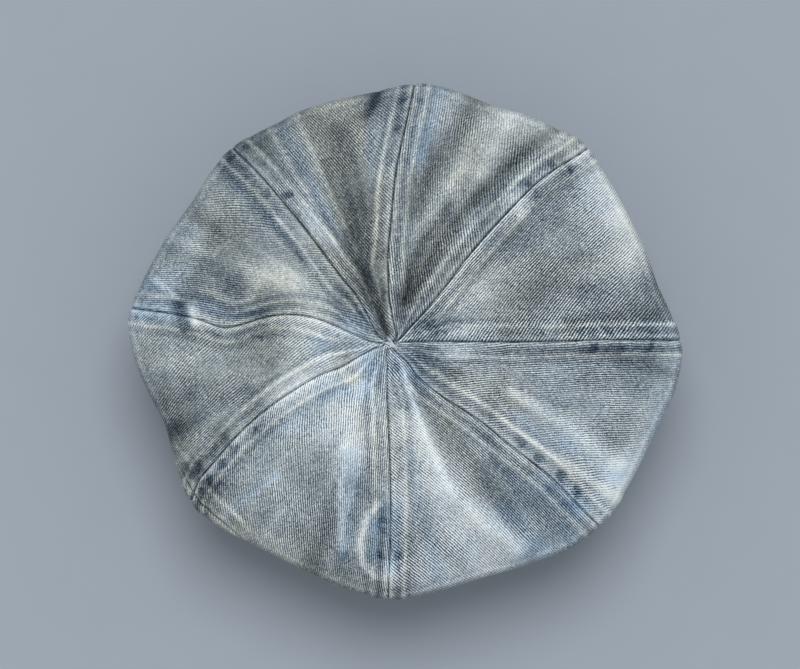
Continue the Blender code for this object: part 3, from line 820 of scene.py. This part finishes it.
class Graph:
    """A material's node tree, with short ways to add the nodes used here."""

    def __init__(self, name):
        self.material = bpy.data.materials.new(name)
        self.material.use_nodes = True
        self.tree = self.material.node_tree
        self.shader = self.tree.nodes["Principled BSDF"]

    def node(self, kind, inputs=(), **settings):
        made = self.tree.nodes.new(kind)
        for key, value in settings.items():
            setattr(made, key, value)
        for key, value in dict(inputs).items():
            if isinstance(value, bpy.types.NodeSocket):
                self.tree.links.new(value, made.inputs[key])
            else:
                made.inputs[key].default_value = value
        return made

    def math(self, operation, a, b=0.0):
        return self.node("ShaderNodeMath", {0: a, 1: b}, operation=operation).outputs[0]

    def total(self, *terms):
        """The sum of terms: sockets, sockets with what each is multiplied by, or plain numbers."""
        result = None
        for term in terms:
            if isinstance(term, tuple):
                term = self.math("MULTIPLY", *term)
            result = term if result is None else self.math("ADD", result, term)
        return result

    def attribute(self, name):
        return self.node("ShaderNodeAttribute", attribute_name=name).outputs["Fac"]

    def pattern(self):
        """The flat pattern's coordinates in millimetres."""
        return self.scaled(self.node("ShaderNodeUVMap", uv_map="grain").outputs["UV"], 1000, 1000, 1000)

    def split(self, vector):
        return self.node("ShaderNodeSeparateXYZ", {0: vector}).outputs

    def scaled(self, vector, *scale):
        return self.node("ShaderNodeVectorMath", {0: vector, 1: scale}, operation="MULTIPLY").outputs[0]

    def noise(self, vector, scale, detail, roughness=0.5):
        """Noise from about -0.5 to 0.5."""
        spot = self.scaled(vector, *scale)
        inputs = {"Vector": spot, "Scale": 1.0, "Detail": detail, "Roughness": roughness}
        return self.math("SUBTRACT", self.node("ShaderNodeTexNoise", inputs).outputs["Fac"], 0.5)

    def ramp(self, value, *stops):
        made = self.node("ShaderNodeValToRGB", {"Fac": value})
        elements = made.color_ramp.elements
        while len(elements) < len(stops):
            elements.new(0.5)
        # Every position is set before any colour, because elements trade places as they move.
        for element, (position, _) in zip(elements, stops):
            element.position = position
        for element, (_, colour) in zip(elements, stops):
            element.color = colour
        return made.outputs["Color"]

    def multiplied(self, first, second):
        made = self.node("ShaderNodeMix", data_type="RGBA", blend_type="MULTIPLY")
        made.inputs[0].default_value = 1.0
        self.tree.links.new(first, made.inputs[6])
        self.tree.links.new(second, made.inputs[7])
        return made.outputs[2]

    def finish(self, colour, height=None, strength=0.3, distance=0.0002, **values):
        self.tree.links.new(colour, self.shader.inputs["Base Color"])
        if height is not None:
            inputs = {"Height": height, "Strength": strength, "Distance": distance}
            normal = self.node("ShaderNodeBump", inputs).outputs["Normal"]
            self.tree.links.new(normal, self.shader.inputs["Normal"])
        for key, value in values.items():
            self.shader.inputs[key.replace("_", " ")].default_value = value
        return self.material


def washed_denim():
    """Denim whose twill follows each panel's pattern, with paleness (painted light included), tint and
    crispness from its points.
    """
    graph = Graph("washed denim")
    flat = graph.pattern()
    parts = graph.split(flat)
    wander = graph.noise(flat, (0.16, 0.16, 1), 1)
    speck = graph.noise(flat, (1.7, 1.9, 1), 2, 0.6)
    warp = graph.noise(flat, (0.55, 2.9, 1), 2, 0.6)
    weft = graph.noise(flat, (2.6, 0.6, 1), 1, 0.5)
    cloud = graph.noise(flat, (0.35, 0.5, 1), 3, 0.6)
    turns = 2 * math.pi / TWILL_MM
    up, along = (parts[1], math.cos(TWILL_ANGLE) * turns), (parts[0], -math.sin(TWILL_ANGLE) * turns)
    twill = graph.math("SINE", graph.total(up, along, (wander, 5.0), (speck, 2.2)))
    fade_and_light, tint, crisp = (graph.attribute(name) for name in ("fade_and_light", "tint", "crisp"))
    rough = graph.total((warp, 1.1), (weft, 0.6), (speck, 1.1), (cloud, 0.40))
    lines = graph.math("MULTIPLY", twill, crisp)
    yarn = graph.math("MULTIPLY", rough, graph.total((crisp, 0.45), 0.6))
    colour = graph.ramp(
        graph.total((lines, 0.31), yarn, fade_and_light, 0.5),
        (0.00, linear(16, 22, 32)),
        (0.22, linear(56, 68, 80)),
        (0.50, linear(126, 136, 143)),
        (0.75, linear(190, 198, 203)),
        (1.00, linear(236, 241, 243)),
    )
    shade = graph.ramp(
        graph.total((tint, 0.35), (cloud, 0.25), 0.5),
        (0.0, (0.61, 0.80, 1.0, 1.0)),
        (0.5, (0.96, 0.985, 0.99, 1.0)),
        (1.0, (1.0, 0.955, 0.83, 1.0)),
    )
    height = graph.total((twill, 0.5), (warp, 1.2), (speck, 0.8))
    return graph.finish(
        graph.multiplied(colour, shade), height, 0.45, 0.00016,
        Roughness=0.9, Specular_IOR_Level=0.15, Sheen_Weight=0.08, Sheen_Roughness=0.5,
    )


def plain_weave(name, dark, pale, pitch, roughness):
    """Cloth of crossing threads, pitch millimetres apart, over the flat pattern."""
    graph = Graph(name)
    flat = graph.pattern()
    turns = 2 * math.pi / pitch
    up, along = (graph.math("SINE", graph.math("MULTIPLY", part, turns)) for part in graph.split(flat)[:2])
    over = graph.math("MULTIPLY", up, along)
    cloud = graph.noise(flat, (0.12, 0.12, 1), 3)
    slub = graph.noise(flat, (0.6, 3.0, 1), 1)
    colour = graph.ramp(graph.total((over, 0.2), (slub, 0.5), (cloud, 0.8), 0.5), (0.0, dark), (1.0, pale))
    height = graph.total((over, 1.0), slub)
    return graph.finish(colour, height, 0.3, 0.0001, Roughness=roughness, Specular_IOR_Level=0.2)


def stiff_felt():
    """Pressed fibre board of the band's stiffener."""
    graph = Graph("stiffener board")
    spot = graph.node("ShaderNodeTexCoord").outputs["Object"]
    fibre = graph.noise(spot, (2500, 2500, 900), 3)
    cloud = graph.noise(spot, (90, 90, 90), 2)
    dark, pale = linear(176, 174, 168), linear(226, 224, 218)
    colour = graph.ramp(graph.total((fibre, 1.2), (cloud, 0.8), 0.5), (0.0, dark), (1.0, pale))
    return graph.finish(colour, fibre, 0.3, 0.0001, Roughness=0.9, Specular_IOR_Level=0.2)


def sewing_thread(name, dark, pale):
    graph = Graph(name)
    spot = graph.node("ShaderNodeTexCoord").outputs["Object"]
    wave = {"Vector": spot, "Scale": 900.0, "Distortion": 2.0}
    ply = graph.node("ShaderNodeTexWave", wave).outputs["Fac"]
    fuzz = graph.noise(spot, (3000, 3000, 3000), 1)
    colour = graph.ramp(graph.total((ply, 0.7), fuzz), (0.0, dark), (1.0, pale))
    return graph.finish(colour, ply, 0.3, 0.00005, Roughness=0.7, Specular_IOR_Level=0.3)


denim = washed_denim()
cotton = plain_weave("lining cotton", linear(150, 146, 134), linear(196, 192, 180), 0.7, 0.85)
tape = plain_weave("sweatband tape", linear(38, 41, 48), linear(70, 75, 84), 1.4, 0.8)
woven = plain_weave("woven label", linear(196, 196, 190), linear(226, 226, 220), 0.4, 0.8)
board = stiff_felt()
thread = sewing_thread("thread", linear(92, 104, 114), linear(176, 186, 192))
worn_thread = sewing_thread("worn thread", linear(150, 160, 168), linear(232, 237, 240))


# ---- crown
def add(name, data):
    """A new object of that name in the scene."""
    made = bpy.data.objects.new(name, data)
    bpy.context.scene.collection.objects.link(made)
    return made


def place(piece, slot, *nodes):
    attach(piece, "root")
    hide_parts(*nodes)


def build_panels():
    for panel in range(PANELS):
        for side, word in ((False, "top"), (True, "side")):
            points, fields, flat = cloth_points(panel, side)
            piece = grid_object(f"denim_{word}_{panel + 1}", points, fields, flat, DENIM, denim)
            place(piece, "washed_denim", f"{word}_panel_{panel + 1}")
            points, _, flat = cloth_points(panel, side, DENIM + LINING_GAP, LINING_COARSER, False)
            piece = grid_object(f"cotton_{word}_{panel + 1}", points, {}, flat, LINING, cotton)
            place(piece, "lining_cotton", f"lining_{word}_{panel + 1}")


# ---- head band
BAND_MM = 35
# Where the rows of points up a strip lie: closer together within 3 mm of its edges.
BAND_EDGE_MM = np.linspace(0, 3, 5)
BAND_ROWS_MM = np.concatenate([BAND_EDGE_MM, np.linspace(0, BAND_MM, 24)[3:-3], BAND_EDGE_MM + BAND_MM - 3])
BAND_COLUMNS = 401
BAND_WAVE_MM = 0.5
BAND_SEAM_SHARE = 0.4
BAND_STITCH_MM = 4.5
BOARD = 0.0008
TAPE = 0.0012


def oval_run(length, width, turns):
    """Lengths along an oval from the first of the turns, in metres."""
    steps = np.hypot(np.diff(length * np.cos(turns)), np.diff(width * np.sin(turns)))
    return np.concatenate([[0], np.cumsum(steps)])


def band_ring(name, node, thickness, material, slot, seamed):
    """A strip round the head opening, in place of a CAD strip. The denim one has a seam at the back."""
    low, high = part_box(node)
    length, width = high.x, high.y
    around = np.linspace(-math.pi, math.pi, BAND_COLUMNS)
    turn, level = np.meshgrid(around, BAND_ROWS_MM / BAND_MM)
    run = np.broadcast_to(oval_run(length, width, around), turn.shape)
    flat = np.stack([level * (high.z - low.z), run], -1)
    rise, fields = np.zeros_like(turn), {}
    if seamed:
        away = np.minimum(run, run[:, -1:] - run) / MM
        height, fade_and_light, tint = seam_profile(away, level * BAND_MM, 0.0, BAND_SEAM_SEED, np.ones_like(away))
        rise = BAND_WAVE_MM * (noise(turn * 9, level * 3, 51) - 1) * 0.5 + BAND_SEAM_SHARE * height
        edge = np.minimum(level, 1 - level) * BAND_MM
        rise = rise - 0.3 * bump(edge, BAND_STITCH_MM, 0.8)
        fade_and_light = fade_and_light + bump(edge, 0, 1.2) * (0.16 + 0.10 * noise(turn * 60, level, 52))
        fade_and_light = fade_and_light + 0.05 * noise(turn * 12, level * 3, 53) + 0.03 * noise(turn * 40, level * 9, 54)
        fade_and_light = fade_and_light - 0.06 * bump(edge, BAND_STITCH_MM, 0.7)
        tint = tint + 0.2 * noise(turn * 8, level * 2, 56)
        fields = {"fade_and_light": fade_and_light, "tint": tint, "crisp": 0.9 + 0.2 * noise(turn * 10, level * 4, 55)}
    x = (length + rise * MM) * np.cos(turn)
    y = (width + rise * MM) * np.sin(turn)
    points = np.stack([x, y, low.z + (high.z - low.z) * level], -1)
    # Columns run the other way, so that the faces look outward.
    points, flat = points[:, ::-1], flat[:, ::-1]
    fields = {key: values[:, ::-1] for key, values in fields.items()}
    piece = grid_object(name, points, fields, flat, thickness, material)
    place(piece, slot, node)


STITCH_LENGTH = 0.0026
STITCH_STEP = 0.0034
STITCH_WIDTH = 0.00055
STITCH_RINGS = 7
STITCH_SIDES = 6
STITCH_FROM_EDGE = 0.0045


def stitches(name, levels):
    """Rows of stitches round the band, each a short bowed thread that dips into the cloth at both ends."""
    points, faces = [], []
    fine = np.linspace(-math.pi, math.pi, 2001)
    run = oval_run(BAND_LENGTH, BAND_WIDTH, fine)
    count = int(run[-1] / STITCH_STEP)
    rings = np.arange(STITCH_RINGS * STITCH_SIDES).reshape(STITCH_RINGS, STITCH_SIDES)
    for level in levels:
        for number in range(count):
            middle = (number + 0.5) * run[-1] / count
            start = len(points)
            for share in np.arange(STITCH_RINGS) / (STITCH_RINGS - 1):
                turn = np.interp(middle + (share - 0.5) * STITCH_LENGTH, run, fine)
                bow = math.sin(math.pi * share)
                lift = STITCH_WIDTH * (0.75 * bow - 0.45)
                thick = STITCH_WIDTH / 2 * (0.55 + 0.45 * bow)
                along, over = math.cos(turn), math.sin(turn)
                out = np.array((along / BAND_LENGTH, over / BAND_WIDTH, 0))
                out /= np.linalg.norm(out)
                base = np.array((BAND_LENGTH * along, BAND_WIDTH * over, level)) + out * lift
                for a in 2 * math.pi * np.arange(STITCH_SIDES) / STITCH_SIDES:
                    points.append(base + thick * (out * math.cos(a) + np.array((0, 0, math.sin(a)))))
            for near, far in zip(start + rings[:-1], start + rings[1:]):
                faces += np.stack([near, np.roll(near, -1), np.roll(far, -1), far], -1).tolist()
            faces += [(start + rings[0, ::-1]).tolist(), (start + rings[-1]).tolist()]
    mesh = bpy.data.meshes.new(name)
    mesh.from_pydata([tuple(p) for p in points], [], faces)
    mesh.materials.append(thread)
    mesh.shade_smooth()
    piece = add(name, mesh)
    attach(piece, "root")


def build_band():
    band_ring("band_cloth", "head_band", DENIM, denim, "washed_denim", True)
    band_ring("band_board", "band_stiffener", BOARD, board, "stiffener", False)
    band_ring("band_tape", "sweatband", TAPE, tape, "sweatband_tape", False)
    stitches("band_stitches", (BAND_FOOT + STITCH_FROM_EDGE, BAND_TOP - STITCH_FROM_EDGE))


# ---- label and knot
LABEL_MM = (30, 18)
LABEL = 0.0005
LABEL_BOW_MM = 0.25
# The turned-in edge shows as a low ridge: height, distance from the edge and half width in millimetres.
LABEL_RIDGE_MM = (0.12, 1.1, 0.5)


def build_label():
    """A blank folded tab, bowed a little, with its sides turned in."""
    low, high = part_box("size_label")
    across, up = np.meshgrid(np.linspace(0, 1, 41), np.linspace(0, 1, 25))
    y = low.y + (high.y - low.y) * across
    z = low.z + (high.z - low.z) * up
    edge = np.minimum(np.minimum(across, 1 - across) * LABEL_MM[0], np.minimum(up, 1 - up) * LABEL_MM[1])
    ridge = LABEL_RIDGE_MM[0] * bump(edge, *LABEL_RIDGE_MM[1:])
    x = high.x + MM * (ridge + LABEL_BOW_MM * np.sin(math.pi * across) * np.sin(math.pi * up))
    flat = np.stack([z - low.z, y - low.y], -1)
    piece = grid_object("label_tab", np.stack([x, y, z], -1), {}, flat, LABEL, woven)
    place(piece, "label", "size_label")


# The knot of thread at the apex: centre from the apex, half length, direction, how deep its loops' ends lie
# under the apex, how far their middles rise, and how far each loop leans, shifts and wanders at most.
KNOT_CENTRE = (0.0015, -0.0017)
KNOT_REACH = 0.0042
KNOT_TURN = math.radians(-27)
KNOT_SINK = 0.0021
KNOT_RISE = 0.0022
KNOT_LEAN = 0.5
KNOT_SHIFT = 0.0010
KNOT_WANDER = 0.0009
KNOT_LAYER = 0.00005
KNOT_LOOPS = 10
KNOT_POINTS = 7
KNOT_THREAD = 0.0007


def build_knot():
    """The seams' thread ends, wound over each other where the seams meet."""
    low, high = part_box("apex_tack")
    middle = (low + high) / 2
    curve = bpy.data.curves.new("apex_knot", "CURVE")
    curve.dimensions = "3D"
    curve.bevel_depth = KNOT_THREAD / 2
    curve.bevel_resolution = 2
    curve.resolution_u = 6
    draws = np.random.default_rng(7)
    for loop in range(KNOT_LOOPS):
        spline = curve.splines.new("NURBS")
        spline.points.add(KNOT_POINTS - 1)
        lean = KNOT_TURN + draws.uniform(-KNOT_LEAN, KNOT_LEAN)
        reach = draws.uniform(0.45, 1.0) * KNOT_REACH
        shift = draws.uniform(-KNOT_SHIFT, KNOT_SHIFT, 2)
        for k, point in enumerate(spline.points):
            share = 2 * k / (KNOT_POINTS - 1) - 1
            side = draws.uniform(-KNOT_WANDER, KNOT_WANDER)
            x = math.cos(lean) * share * reach - math.sin(lean) * side + KNOT_CENTRE[0] + shift[0]
            y = math.sin(lean) * share * reach + math.cos(lean) * side + KNOT_CENTRE[1] + shift[1]
            z = high.z - KNOT_SINK + KNOT_RISE * (1 - share * share) + KNOT_LAYER * loop
            point.co = (middle.x + x, middle.y + y, z, 1)
        spline.use_endpoint_u = True
        spline.order_u = 4
    curve.materials.append(worn_thread)
    place(add("apex_knot", curve), "thread", "apex_tack")


# ---- floor, light and camera
FLOOR_REACH = 8.0
# The camera's height, the width of what it sees at the rim's height, and where it stands from the apex.
VIEW_HEIGHT = 3.0
VIEW_WIDTH = 0.416
VIEW_CENTRE = (0.00494, 0.00416)


def lay_floor():
    mesh = bpy.data.meshes.new("floor")
    corners = [(x * FLOOR_REACH, y * FLOOR_REACH, 0) for x, y in ((-1, -1), (1, -1), (1, 1), (-1, 1))]
    mesh.from_pydata(corners, [], [(0, 1, 2, 3)])
    graph = Graph("pale floor")
    spot = graph.node("ShaderNodeNewGeometry").outputs["Position"]
    grain = graph.noise(spot, (40, 40, 40), 3)
    colour = graph.ramp(graph.total(grain, 0.5), (0.0, linear(168, 177, 187)), (1.0, linear(171, 180, 190)))
    mesh.materials.append(graph.finish(colour, Roughness=0.9, Specular_IOR_Level=0.0))
    add("floor", mesh)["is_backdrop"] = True


def soft_sun(name, energy, softness, azimuth, elevation):
    """A distant light, softness degrees wide, from that direction (0 is +X, 90 is +Y) and elevation."""
    sun = bpy.data.lights.new(name, "SUN")
    sun.energy = energy
    sun.angle = math.radians(softness)
    light = add(name, sun)
    a, e = math.radians(azimuth), math.radians(elevation)
    away = np.array((math.cos(a) * math.cos(e), math.sin(a) * math.cos(e), math.sin(e)))
    light.location = away * VIEW_HEIGHT
    light.rotation_euler = (math.pi / 2 - e, 0, a + math.pi / 2)
    return light


def light_scene():
    soft_sun("key", 1.5, 36, 86, 64)
    side = soft_sun("side", 1.25, 24, 160, 46)
    # The side light shapes the folds only, and leaves the floor alone.
    lit = bpy.data.collections.new("lit from the side")
    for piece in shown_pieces():
        lit.objects.link(piece)
    side.light_linking.receiver_collection = lit
    world = bpy.data.worlds.new("studio")
    world.use_nodes = True
    world.node_tree.nodes["Background"].inputs["Color"].default_value = (0.86, 0.88, 0.90, 1)
    world.node_tree.nodes["Background"].inputs["Strength"].default_value = 0.5
    bpy.context.scene.world = world


def set_camera():
    lens = bpy.data.cameras.new("camera")
    lens.sensor_width = 36
    lens.lens = lens.sensor_width * (VIEW_HEIGHT - RIM_HEIGHT) / VIEW_WIDTH
    lens.clip_end = 50
    camera = add("camera", lens)
    camera.location = (APEX[0] + VIEW_CENTRE[0], APEX[1] + VIEW_CENTRE[1], VIEW_HEIGHT)
    bpy.context.scene.camera = camera


build_panels()
build_band()
build_label()
build_knot()
lay_floor()
light_scene()
set_camera()
bpy.context.scene.view_settings.view_transform = "Standard"
